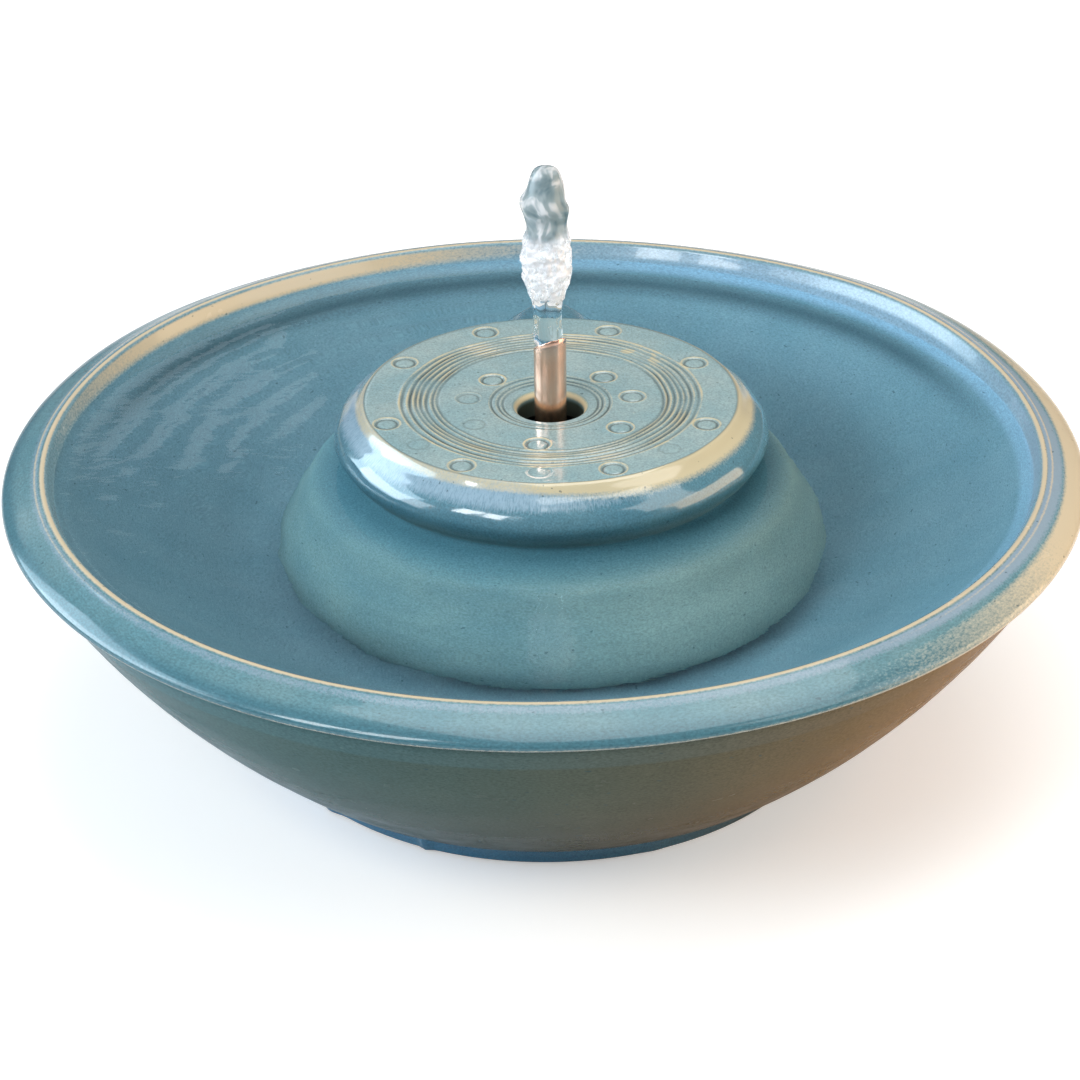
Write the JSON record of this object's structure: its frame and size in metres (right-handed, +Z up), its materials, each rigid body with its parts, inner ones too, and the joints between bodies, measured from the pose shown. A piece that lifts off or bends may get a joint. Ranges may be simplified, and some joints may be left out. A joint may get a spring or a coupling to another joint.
{
  "type": "tabletop fountain with submersible pump",
  "caption": "Ceramic fountain bowl with a lift-off pump cover, copper spout, water jet and a complete low-voltage submersible pump with strainer, flow dial, cord and plug.",
  "frame": {"origin": "on the bowl's turning axis at table level, the centre of the foot ring's underside", "axes": "+Z up along the bowl's axis, -Y the front seen in the picture, +Y the back where the cord leaves, +X right"},
  "size_m": [0.3206, 0.3225, 0.1826],
  "materials": {
    "bowl_glaze": "glossy speckled teal glaze",
    "cover_glaze": "glossy aqua glaze breaking to cream at the edges",
    "copper": "bright drawn copper",
    "water": "clear aerated water",
    "vinyl": "clear soft vinyl",
    "housing_plastic": "fine-textured black",
    "trim_plastic": "satin black",
    "epoxy": "poured black resin",
    "laminations": "stacked steel sheet",
    "bobbin_plastic": "natural nylon",
    "enamel_wire": "enamelled copper wire",
    "magnet": "dark moulded ferrite",
    "impeller_plastic": "white nylon",
    "steel": "polished",
    "black_rubber": "matte",
    "clear_rubber": "translucent",
    "foam": "open-cell foam",
    "cord_vinyl": "satin black vinyl",
    "plug_insulator": "moulded yellow"
  },
  "bodies": {
    "basin": {"bowl": "bowl_glaze", "pump_housing": "housing_plastic", "stator_core": "laminations", "coil_bobbin": "bobbin_plastic", "coil_winding": "enamel_wire", "potting_plate": "epoxy", "cord_gland": "black_rubber", "rotor_shaft": "steel", "rear_bushing": "black_rubber", "front_bushing": "black_rubber", "volute_cover": "trim_plastic", "chamber_seal": "black_rubber", "suction_cup_1": "clear_rubber", "suction_cup_2": "clear_rubber", "suction_cup_3": "clear_rubber", "suction_cup_4": "clear_rubber", "power_cord": "cord_vinyl", "plug_body": "trim_plastic", "plug_barrel": "steel", "plug_insulator": "plug_insulator"},
    "cover": {"pump_cover": "cover_glaze"},
    "rotor": {"rotor_magnet": "magnet", "impeller": "impeller_plastic"},
    "strainer": {"intake_cover": "trim_plastic", "foam_filter": "foam"},
    "dial": {"flow_dial": "housing_plastic"},
    "sleeve": {"outlet_sleeve": "vinyl"},
    "spout": {"copper_spout": "copper", "water_jet": "water"}
  },
  "joints": [
    {"name": "cover_lift", "type": "slide", "parent": "basin", "child": "cover", "axis": [0, 0, 1], "range_m": [0, 0.13]},
    {"name": "impeller_spin", "type": "hinge", "parent": "basin", "child": "rotor", "pos_m": [0.001, 0, 0.046], "axis": [0, 1, 0], "continuous": true},
    {"name": "intake_pull", "type": "slide", "parent": "basin", "child": "strainer", "axis": [0, -1, 0], "range_m": [0, 0.018]},
    {"name": "dial_turn", "type": "hinge", "parent": "strainer", "child": "dial", "pos_m": [0.001, -0.03, 0.046], "axis": [0, -1, 0], "range_deg": [0, 90]},
    {"name": "sleeve_pull", "type": "slide", "parent": "basin", "child": "sleeve", "axis": [0, 0, 1], "range_m": [0, 0.014]},
    {"name": "spout_turn", "type": "hinge", "parent": "sleeve", "child": "spout", "pos_m": [0.001, -0.007, 0.09], "axis": [0, 0, 1], "continuous": true}
  ]
}
